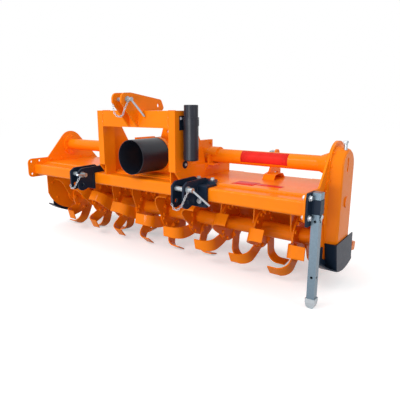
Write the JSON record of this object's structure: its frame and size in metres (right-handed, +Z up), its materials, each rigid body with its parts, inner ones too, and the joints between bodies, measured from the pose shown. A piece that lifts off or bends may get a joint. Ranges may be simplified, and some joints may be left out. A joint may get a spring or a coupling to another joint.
{
  "type": "tractor rotary tiller",
  "caption": "Tractor-mounted rotary tiller with a tined rotor under a deck, side gear drive, three-point headstock, tailboard and parking stand.",
  "frame": {"origin": "on the floor under the middle of the machine's outer size, with the tines and the parking foot standing on z = 0", "axes": "+X across the machine towards the gear case and parking stand, +Y backwards to the tailboard, +Z up"},
  "size_m": [2.463, 1.059, 1.0859],
  "materials": {
    "orange_paint": "glossy orange paint",
    "black_paint": "satin black paint",
    "black_plastic": "moulded black plastic",
    "zinc": "zinc-plated steel",
    "bright_steel": "machined steel"
  },
  "bodies": {
    "frame": {"chain_case": "orange_paint", "chain_case_plug": "zinc", "deck": "orange_paint", "document_tube": "black_plastic", "document_tube_bracket": "black_paint", "document_tube_cap": "black_plastic", "drive_tube_left": "orange_paint", "drive_tube_right": "orange_paint", "front_beam": "orange_paint", "gearbox": "orange_paint", "headstock_cross_bar": "orange_paint", "headstock_plate_left": "orange_paint", "headstock_plate_right": "orange_paint", "link_bracket_left": "black_paint", "link_bracket_right": "black_paint", "link_pin_left": "zinc", "link_pin_right": "zinc", "pto_guard": "black_plastic", "rod_foot_left": "orange_paint", "rod_foot_right": "orange_paint", "rod_post_left": "orange_paint", "rod_post_right": "orange_paint", "roller_lug_left": "orange_paint", "roller_lug_right": "orange_paint", "rotor_bearing_left": "orange_paint", "rotor_bearing_right": "orange_paint", "side_plate_left": "orange_paint", "side_plate_right": "orange_paint", "skid_left": "black_paint", "skid_right": "black_paint", "stand_bracket": "black_paint", "tailboard_hinge_pins": "zinc", "top_link_bracket": "orange_paint", "top_link_pin": "zinc", "tube_saddle_left": "orange_paint", "tube_saddle_right": "orange_paint"},
    "rotor": {"rotor_shaft": "orange_paint", "tines_left_hand": "orange_paint", "tines_right_hand": "orange_paint"},
    "pto": {"pto_shaft": "bright_steel"},
    "stand": {"stand_leg": "zinc", "stand_foot": "zinc", "stand_pin": "zinc"},
    "tailboard": {"tailboard": "orange_paint", "tailboard_rod_pins": "zinc"},
    "rods": {"tailboard_rods": "zinc"}
  },
  "joints": [
    {"name": "rotor_spin", "type": "hinge", "parent": "frame", "child": "rotor", "pos_m": [0, 0.065, 0.262], "axis": [1, 0, 0], "continuous": true},
    {"name": "pto_spin", "type": "hinge", "parent": "frame", "child": "pto", "pos_m": [0, -0.182, 0.692], "axis": [0, 1, 0], "continuous": true},
    {"name": "stand_slide", "type": "slide", "parent": "frame", "child": "stand", "axis": [0, 0, 1], "range_m": [0, 0.288]},
    {"name": "tailboard_hinge", "type": "hinge", "parent": "frame", "child": "tailboard", "pos_m": [0, 0.304, 0.55], "axis": [1, 0, 0], "range_deg": [0, 50]},
    {"name": "rod_pivot", "type": "hinge", "parent": "tailboard", "child": "rods", "pos_m": [0, 0.418, 0.403], "axis": [1, 0, 0], "range_deg": [-25, 1]}
  ],
  "couplings": [
    {"joint": "pto_spin", "follows": "rotor_spin", "ratio": 2.45},
    {"joint": "rod_pivot", "follows": "tailboard_hinge", "ratio": -0.486}
  ]
}
